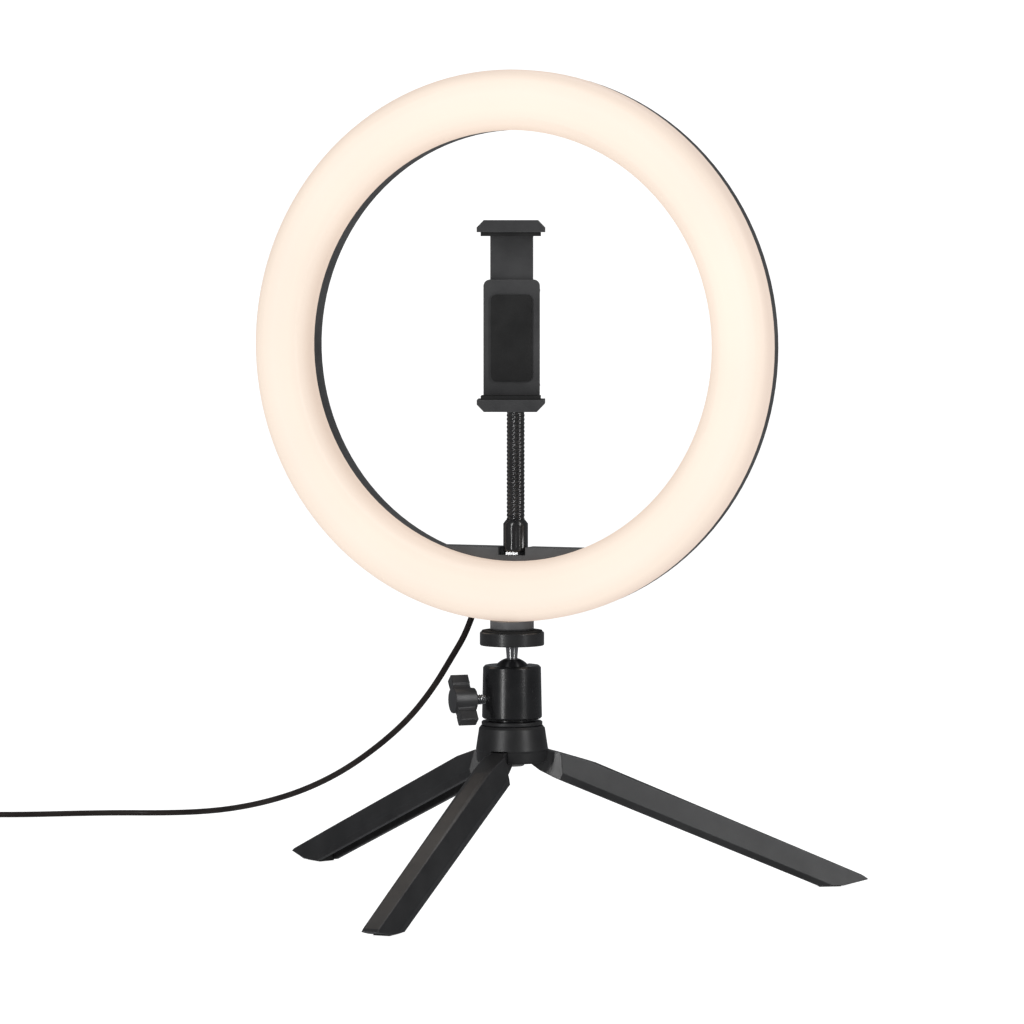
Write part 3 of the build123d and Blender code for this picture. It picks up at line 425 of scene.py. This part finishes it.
# ---------------------------------------------------------------- lead
CORD_R = 1.5 * MM
LEAD_ROUTE = [              # millimetres from the head axis, from the strain relief to the coil
    (-25.6, 14.0, 131.4), (-29.0, 14.0, 122.0), (-39.3, 21.6, 109.8), (-54.2, 33.5, 92.8),
    (-74.7, 51.2, 75.1), (-100.3, 72.3, 58.5), (-131.3, 98.8, 42.0), (-165.8, 128.1, 28.0),
    (-200.9, 157.3, 17.3), (-234.3, 185.0, 9.4), (-263.8, 206.5, 4.3), (-290.4, 216.8, 1.6),
    (-311.0, 210.0, 1.6), (-330.5, 199.0, 1.6), (-348.4, 187.0, 1.6), (-365.5, 178.6, 1.6),
    (-377.8, 176.3, 1.6), (-392.4, 172.2, 1.6), (-404.9, 168.3, 1.6),
]
TAIL_ROUTE = [              # down from the top of the coil, through the inline control, to the plug
    (-427.1, 129.5, 11.0), (-423.9, 120.0, 9.3), (-420.0, 110.8, 6.6), (-416.5, 102.5, 5.8),
    (-410.0, 86.0, 3.6), (-396.7, 52.0, 3.6), (-390.2, 35.5, 5.8), (-386.9, 27.1, 5.2),
    (-382.3, 19.2, 4.3), (-377.1, 12.1, 3.8), (-373.0, 4.6, 3.8),
]
LEAD_CUTS = (0.042, 0.090, 0.230)   # where the lead is cut from one length into the next
SAME_POINT = 1e-6
COIL_CENTRE = (-411.7, 144.7)
COIL_START = radians(111.5)
COIL_LAYERS = 4
COIL_RADII = (19.7, 13.3)
COIL_LIFT = 3.2
COIL_LOW = 1.6
POINTS_PER_TURN = 16


def coil_route():
    """Control points of the coil: each layer spirals across in two turns, and one more turn climbs."""
    turns = 3 * COIL_LAYERS - 1
    points = []
    for i in range(int((turns + 0.25) * POINTS_PER_TURN)):
        turn = i / POINTS_PER_TURN
        layer, within = divmod(turn, 3)
        first, last = COIL_RADII if layer % 2 == 0 else COIL_RADII[::-1]
        if turn >= turns:
            radius, rise = last, 0.0
        elif within < 2:
            radius, rise = first + (last - first) * within / 2, 0.0
        else:
            radius, rise = last, within - 2
        angle = COIL_START + 2 * pi * turn
        height = COIL_LOW + (layer + rise) * COIL_LIFT
        points.append(
            (COIL_CENTRE[0] + radius * cos(angle), COIL_CENTRE[1] + radius * sin(angle), height)
        )
    return points


def evaluated_mesh(holder):
    """Mesh of an object with its modifiers or its curve worked out."""
    bpy.context.view_layer.update()
    graph = bpy.context.evaluated_depsgraph_get()
    return bpy.data.meshes.new_from_object(holder.evaluated_get(graph))


def spline_line(route):
    """Points along the smooth NURBS spline that has the route's points as its control points."""
    curve = bpy.data.curves.new("route", "CURVE")
    curve.dimensions = "3D"
    curve.resolution_u = 6
    spline = curve.splines.new("NURBS")
    spline.points.add(len(route) - 1)
    for point, place in zip(spline.points, route):
        point.co = (*from_axis(*place), 1)
    spline.order_u = 3
    spline.use_endpoint_u = True
    holder = new_object("route", curve)
    mesh = evaluated_mesh(holder)
    line = [vertex.co.copy() for vertex in mesh.vertices]
    bpy.data.objects.remove(holder)
    bpy.data.curves.remove(curve)
    bpy.data.meshes.remove(mesh)
    return line


def cut(line, lengths):
    """Split a line where its length passes each of these values; the pieces share their end points."""
    parts = []
    current = [line[0]]
    marks = list(lengths)
    run = 0.0
    for a, b in zip(line, line[1:]):
        step = (b - a).length
        while marks and run + step > marks[0]:
            middle = a.lerp(b, (marks[0] - run) / step)
            current.append(middle)
            parts.append(current)
            current = [middle]
            marks.pop(0)
        run += step
        current.append(b)
    parts.append(current)
    return [
        [p for i, p in enumerate(part) if i == 0 or (p - part[i - 1]).length > SAME_POINT]
        for part in parts
    ]


def jacket(i, angle):
    return CORD_R


def build_lead():
    """The lead in four lengths; only the last is hung on the tripod, and the first three stay where they are
    built.
    """
    line = spline_line(LEAD_ROUTE + coil_route() + TAIL_ROUTE)
    parts = cut(line, LEAD_CUTS)
    crossings = (("light", "stem"), ("stem", "head"), ("head", "tripod"))
    for number, (part, pair) in enumerate(zip(parts, crossings), 1):
        piece = tube(f"lead_{number}", part, jacket, M["cord_dark"], 20)
        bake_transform(piece)
        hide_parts("usb_cord")
    rest = parts[-1]
    lead = tube("lead", rest, jacket, M["cord_dark"], 20)
    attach(lead, "tripod")
    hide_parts("usb_cord", "cord_coil", "cord_tail", "cord_end")
    on_it = [
        NODES[name]
        for name in (
            "remote_lower", "remote_upper", "remote_board", "power_button", "mode_button",
            "brightness_rocker", "usb_plug_body", "usb_plug_shell",
        )
    ]
    on_it + [coil_tie()]
    print("lead length", round(length_of(line), 3))


TIE_ANGLE = radians(250)
TIE_INNER = 11.2 * MM
TIE_OUTER = 21.4 * MM
TIE_LOW = 0.35 * MM
TIE_HIGH = 12.9 * MM
TIE_CORNER_R = 1.6 * MM
TIE_HALF_WIDTH = 2.2 * MM
TIE_HALF_THICK = 0.3 * MM
CORNER_STEPS = 5


def coil_tie():
    """Flat strap looped round one side of the coil."""
    outward = Vector((cos(TIE_ANGLE), sin(TIE_ANGLE), 0))
    along = Vector((-outward.y, outward.x, 0))
    centre = from_axis(*COIL_CENTRE, 0)
    loop = []
    for cx, cz, start in (
        (TIE_OUTER - TIE_CORNER_R, TIE_LOW + TIE_CORNER_R, 270),
        (TIE_OUTER - TIE_CORNER_R, TIE_HIGH - TIE_CORNER_R, 0),
        (TIE_INNER + TIE_CORNER_R, TIE_HIGH - TIE_CORNER_R, 90),
        (TIE_INNER + TIE_CORNER_R, TIE_LOW + TIE_CORNER_R, 180),
    ):
        for step in range(CORNER_STEPS + 1):
            angle = radians(start + 90 * step / CORNER_STEPS)
            out, rise = cos(angle), sin(angle)
            loop.append((cx + TIE_CORNER_R * out, cz + TIE_CORNER_R * rise, out, rise))
    points = []
    for x, z, out, rise in loop:
        for side, skin in ((-1, -1), (1, -1), (1, 1), (-1, 1)):
            points.append(
                centre + outward * (x + out * skin * TIE_HALF_THICK) + along * side * TIE_HALF_WIDTH
                + UP * (z + rise * skin * TIE_HALF_THICK)
            )
    faces = []
    count = len(loop)
    for i in range(count):
        j = (i + 1) % count
        for k in range(4):
            m = (k + 1) % 4
            faces.append((i * 4 + k, i * 4 + m, j * 4 + m, j * 4 + k))
    strap = mesh_object("cord_tie", points, faces, M["rubber_black"])
    strap.data.set_sharp_from_angle(angle=radians(40))
    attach(strap, "tripod")
    return strap


BOOT_TOP = (-19.0, 14.0, 149.5)
BOOT_TOP_R = 3.0 * MM
BOOT_END_R = 1.9 * MM
BOOT_STEPS = 120
GROOVES_FROM = 0.22         # shares of the boot's length
GROOVES_TO = 0.94
GROOVE_PITCH = 0.12
GROOVE_STARTS_AT = 0.62     # share of each pitch that isn't grooved
GROOVE_DEPTH = 0.42 * MM


def build_strain_relief():
    """Tapered boot with grooves cut round it, so that it bends."""
    top = from_axis(*BOOT_TOP)
    end = from_axis(*LEAD_ROUTE[0])
    line = [top.lerp(end, i / BOOT_STEPS) for i in range(BOOT_STEPS + 1)]

    def profile(i, angle):
        share = i / BOOT_STEPS
        radius = BOOT_TOP_R + (BOOT_END_R - BOOT_TOP_R) * share
        in_pitch = (share - GROOVES_FROM) / GROOVE_PITCH % 1
        if GROOVES_FROM < share < GROOVES_TO and in_pitch > GROOVE_STARTS_AT:
            radius -= GROOVE_DEPTH
        return radius

    boot = tube("boot", line, profile, M["cord_dark"], 40)
    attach(boot, "light")
    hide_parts("strain_relief")


# ---------------------------------------------------------------- gooseneck
NECK_FOOT = from_axis(0, 4.7, 0)
NECK_START_Z = 170 * MM
NECK_BEND_Z = 249 * MM
NECK_BEND_R = 26 * MM
NECK_STRAIGHT = NECK_BEND_Z - NECK_START_Z
NECK_LENGTH = NECK_STRAIGHT + NECK_BEND_R * pi / 2
NECK_R = 4.0 * MM
RIB_HEIGHT = 0.3 * MM
RIB_PITCH = 1.9 * MM
RIB_STARTS = 6
RIB_ROUNDNESS = 0.6
NECK_STEP = 0.2 * MM
NECK_SIDES = 60
NECK_OVERLAP = 0.4 * MM     # how far the covering reaches into the ferrule
NECK_END_GAP = 1.0 * MM
FIRST_JOINT = 32 * MM
JOINT_PITCH = 19 * MM
FERRULE_TOP_Z = 177.4 * MM
FERRULE_PROFILE = [         # radius and height in millimetres, from the stud's tip to the mouth
    (2.7, 156.2), (3.175, 156.8), (3.175, 162.29), (5.5, 162.3), (5.9, 162.7), (5.9, 163.6),
    (5.9, 164.4), (5.9, 174.2), (5.9, 175.0), (5.9, 175.6), (4.5, 177.4),
]
FLUTES = 10
FLUTE_DEPTH = 0.35
FLUTES_BETWEEN = (164, 175)


def neck_point(s):
    """Point of the neck's centre line, this far along it."""
    if s <= NECK_STRAIGHT:
        return NECK_FOOT + UP * (NECK_START_Z + s)
    turn = (s - NECK_STRAIGHT) / NECK_BEND_R
    reach = NECK_BEND_R * (1 - cos(turn))
    return NECK_FOOT + FORWARD * reach + UP * (NECK_BEND_Z + NECK_BEND_R * sin(turn))


def neck_sides(s):
    """Directions across the neck at that point."""
    turn = max(0.0, (s - NECK_STRAIGHT) / NECK_BEND_R)
    return RIGHT, UP * sin(turn) * -1 + FORWARD * cos(turn)


def build_neck():
    """Ribbed covering of the gooseneck, one length over each bend, joined half-way between them."""
    sides = NECK_SIDES
    joints = [FIRST_JOINT + JOINT_PITCH * i for i in range(5)]
    ends = [FERRULE_TOP_Z - NECK_START_Z - NECK_OVERLAP]
    ends += [s + JOINT_PITCH / 2 for s in joints[:-1]]
    ends.append(NECK_LENGTH - NECK_END_GAP)
    for number in range(5):
        first, last = ends[number], ends[number + 1]
        count = round((last - first) / NECK_STEP)
        points = []
        faces = []
        for i in range(count + 1):
            s = first + (last - first) * i / count
            a, b = neck_sides(s)
            for k in range(sides):
                angle = 2 * pi * k / sides
                wave = 0.5 + 0.5 * cos(2 * pi * s / RIB_PITCH + RIB_STARTS * angle)
                radius = NECK_R + RIB_HEIGHT * (2 * wave ** RIB_ROUNDNESS - 1)
                points.append(neck_point(s) + (a * cos(angle) + b * sin(angle)) * radius)
        for i in range(count):
            for k in range(sides):
                m = (k + 1) % sides
                faces.append((i * sides + k, i * sides + m, (i + 1) * sides + m, (i + 1) * sides + k))
        skin = mesh_object(f"neck_cover_{number + 1}", points, faces, M["neck_black"])
        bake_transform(skin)
        hidden = [f"neck_link_{number}"] + (["neck_link_5"] if number == 4 else [])
        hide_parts(*hidden)


def build_ferrule():
    """Crimped sleeve at the gooseneck's foot, with shallow flutes down its sides, on its stud."""
    line = [NECK_FOOT + UP * z * MM for radius, z in FERRULE_PROFILE]

    def sleeve(i, angle):
        radius, z = FERRULE_PROFILE[i]
        if FLUTES_BETWEEN[0] < z < FLUTES_BETWEEN[1]:
            radius -= FLUTE_DEPTH * (0.5 + 0.5 * cos(FLUTES * angle)) ** 2
        return radius * MM

    ferrule = tube("crimped_ferrule", line, sleeve, M["ferrule_black"], 120)
    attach(ferrule, "neck_base")
    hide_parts("lower_ferrule")


# ---------------------------------------------------------------- knob, thread and spring
KNOB_AZIMUTH = radians(221.5)
KNOB_OUT = Vector((cos(KNOB_AZIMUTH), sin(KNOB_AZIMUTH), 0))
KNOB_SIDE = Vector((-KNOB_OUT.y, KNOB_OUT.x, 0))
KNOB_AT = from_axis(0, 0, 92.5)
KNOB_NEAR = 19.0 * MM
KNOB_FAR = 30.1 * MM
WING_TILT = radians(128)
WING_DEPTH = 8.8
WING_MIDDLE = 5.6 * MM
WING_BLOCKS = ((6.0, 2.3, 7.0), (10.2, 2.75, 5.0))      # reach, half thickness and length
THREAD_R = 2.5
THREAD_DEPTH = 0.6
THREAD_PITCH = 1.0 * MM
THREAD_STEP = 0.1 * MM
THREAD_FROM = 7.6 * MM
THREAD_TO = 27.1 * MM


def build_clamp_screw():
    """Threaded rod between the knob and the housing."""
    span = THREAD_TO - THREAD_FROM
    count = round(span / THREAD_STEP)
    line = [KNOB_AT + KNOB_OUT * (THREAD_FROM + span * i / count) for i in range(count + 1)]

    def thread(i, angle):
        phase = (i * THREAD_STEP / THREAD_PITCH + angle / (2 * pi)) % 1
        return (THREAD_R - THREAD_DEPTH * abs(2 * phase - 1)) * MM

    rod = tube("threaded_rod", line, thread, M["steel"], 36)
    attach(rod, "lock_knob")
    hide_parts("clamp_screw")


def rounded(name, build, material, voxel, passes):
    """Melt overlapping solids into one rounded body."""
    mesh = bpy.data.meshes.new(name)
    solid = bmesh.new()
    build(solid)
    solid.to_mesh(mesh)
    solid.free()
    piece = new_object(name, mesh)
    remesh = piece.modifiers.new("melt", "REMESH")
    remesh.mode = "VOXEL"
    remesh.voxel_size = voxel
    soften = piece.modifiers.new("soften", "SMOOTH")
    soften.factor = 0.5
    soften.iterations = passes
    final = evaluated_mesh(piece)
    piece.modifiers.clear()
    piece.data = final
    bpy.data.meshes.remove(mesh)
    for polygon in final.polygons:
        polygon.use_smooth = True
    final.materials.clear()
    final.materials.append(material)
    return piece


def build_knob():
    """Two-winged knob: a round barrel with a rounded paddle on each side."""
    wing = KNOB_SIDE * cos(WING_TILT) + UP * sin(WING_TILT)
    thick = KNOB_OUT.cross(wing)

    def parts(solid):
        middle = KNOB_AT + KNOB_OUT * (KNOB_NEAR + KNOB_FAR) / 2
        turn = KNOB_OUT.to_track_quat("Z", "Y").to_matrix().to_4x4()
        bmesh.ops.create_cone(
            solid, cap_ends=True, segments=48, radius1=5.7 * MM, radius2=6.2 * MM,
            depth=KNOB_FAR - KNOB_NEAR, matrix=Matrix.Translation(middle) @ turn,
        )
        for side in (-1, 1):
            for reach, half_thick, length in WING_BLOCKS:
                box = Matrix((
                    (*(wing * length * MM), 0), (*(thick * 2 * half_thick * MM), 0),
                    (*(KNOB_OUT * WING_DEPTH * MM), 0), (0, 0, 0, 1),
                )).transposed()
                centre = KNOB_AT + KNOB_OUT * (KNOB_NEAR + WING_MIDDLE) + wing * side * reach * MM
                bmesh.ops.create_cube(solid, size=1.0, matrix=Matrix.Translation(centre) @ box)

    knob = rounded("wing_knob", parts, M["knob_black"], 0.22 * MM, 8)
    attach(knob, "lock_knob")
    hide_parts("clamp_knob")


def build_spring():
    """Wound spring between the clamp's body and its sliding jaw."""
    low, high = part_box("clamp_spring")
    centre = Vector(((low.x + high.x) / 2, (low.y + high.y) / 2, 0))
    turns = 11
    per_turn = 20
    wire = 0.4 * MM
    radius = (high.x - low.x) / 2 - wire
    bottom = low.z + wire
    rise = high.z - low.z - 2 * wire
    line = []
    for i in range(turns * per_turn + 1):
        angle = 2 * pi * i / per_turn
        share = i / (turns * per_turn)
        line.append(centre + Vector((radius * cos(angle), radius * sin(angle), bottom + rise * share)))
    spring = tube("jaw_spring", line, lambda i, angle: wire, M["steel"], 10)
    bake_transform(spring)
    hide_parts("clamp_spring")


# ---------------------------------------------------------------- stage, light and camera
CAMERA_TURN = radians(21.5)
CAMERA_TILT = radians(3.25)
CAMERA_DISTANCE = 2.3689
CAMERA_HEIGHT = 0.3158
LENS_MM = 175.78
LIGHTS_AIM_Z = 0.18
BACKDROP_R = 9.0
BACKDROP_BEND_R = 1.2
BACKDROP_TOP = 5.0
BACKDROP_HALF_ANGLE = 24    # degrees
BACKDROP_COLUMNS = 24
FLOOR_R = 12.0
FLOOR_SIDES = 64
FLOOR_Z = -0.0002           # just under the backdrop's level part, so that they don't share a plane


def toward_camera(angle):
    """Level direction from the object, turned this many degrees to the right of the camera."""
    turn = CAMERA_TURN + radians(angle)
    return Vector((sin(turn), -cos(turn), 0))


def add_camera():
    data = bpy.data.cameras.new("camera")
    data.lens = LENS_MM
    data.sensor_width = 36
    data.clip_start = 0.05
    data.clip_end = 50
    camera = new_object("camera", data)
    camera.location = Vector((0, AXIS_Y, CAMERA_HEIGHT)) + toward_camera(0) * CAMERA_DISTANCE
    camera.rotation_euler = (pi / 2 - CAMERA_TILT, 0, CAMERA_TURN)
    bpy.context.scene.camera = camera


def add_area(name, angle, distance, height, width, tall, power):
    """Soft rectangular light that looks at the middle of the object."""
    data = bpy.data.lights.new(name, "AREA")
    data.shape = "RECTANGLE"
    data.size = width
    data.size_y = tall
    data.energy = power
    light = new_object(name, data)
    light.location = Vector((0, AXIS_Y, height)) + toward_camera(angle) * distance
    target = Vector((0, AXIS_Y, LIGHTS_AIM_Z))
    light.rotation_euler = (target - light.location).to_track_quat("-Z", "Y").to_euler()


def stage_material():
    nodes = Nodes("white_paper")
    tone = nodes.ramp(nodes.noise(1.5, 2), "Fac", [(0.3, grey(0.30)), (0.7, grey(0.32))])
    nodes.join(tone, "Color", nodes.shader, "Base Color")
    nodes.set(Roughness=0.8, Emission_Color=(1, 1, 1, 1), Emission_Strength=0.98)
    return nodes.material


def add_stage():
    """Round white floor, and behind the object a white backdrop that curves up out of it."""
    foot = BACKDROP_R - BACKDROP_BEND_R
    outline = [(0.0, 0.0), (foot, 0.0)]
    for degrees in range(10, 91, 10):
        bend = radians(degrees)
        outline.append((foot + BACKDROP_BEND_R * sin(bend), BACKDROP_BEND_R * (1 - cos(bend))))
    outline.append((BACKDROP_R, BACKDROP_TOP))
    rows = len(outline)
    points = []
    for k in range(BACKDROP_COLUMNS + 1):
        turn = BACKDROP_HALF_ANGLE * (2 * k / BACKDROP_COLUMNS - 1)
        direction = toward_camera(180 + turn)
        points += [Vector((0, AXIS_Y, z)) + direction * r for r, z in outline]
    faces = []
    for k in range(BACKDROP_COLUMNS):
        for i in range(rows - 1):
            a = k * rows + i
            faces.append((a, a + 1, a + rows + 1, a + rows))
    backdrop = mesh_object("backdrop", points, faces, stage_material())
    middle = Vector((0, AXIS_Y, FLOOR_Z))
    rim = [middle + toward_camera(360 * k / FLOOR_SIDES) * FLOOR_R for k in range(FLOOR_SIDES + 1)]
    wedges = [(0, k, k + 1) for k in range(1, FLOOR_SIDES + 1)]
    floor = mesh_object("floor", [middle] + rim, wedges, stage_material())
    # Black parts mirror the dark room and the strips of light, not the paper.
    for paper in (backdrop, floor):
        paper.visible_glossy = False


def add_lights():
    world = bpy.data.worlds.new("studio")
    world.use_nodes = True
    room = world.node_tree.nodes["Background"]
    room.inputs["Color"].default_value = (0.92, 0.95, 1.0, 1)
    room.inputs["Strength"].default_value = 0.16
    bpy.context.scene.world = world
    add_area("left_strip", -36, 1.5, 0.62, 0.12, 1.3, 12)
    add_area("right_strip", 48, 1.5, 0.80, 0.14, 1.4, 11)
    add_area("top_back", 150, 0.55, 1.6, 1.2, 0.9, 6)
    bpy.context.scene.view_settings.view_transform = "Standard"
    bpy.context.scene.view_settings.look = "None"


add_camera()
add_lights()
add_stage()
finish_cad_nodes()
build_lead()
build_strain_relief()
build_neck()
build_ferrule()
build_clamp_screw()
build_knob()
build_spring()

bpy.context.view_layer.update()
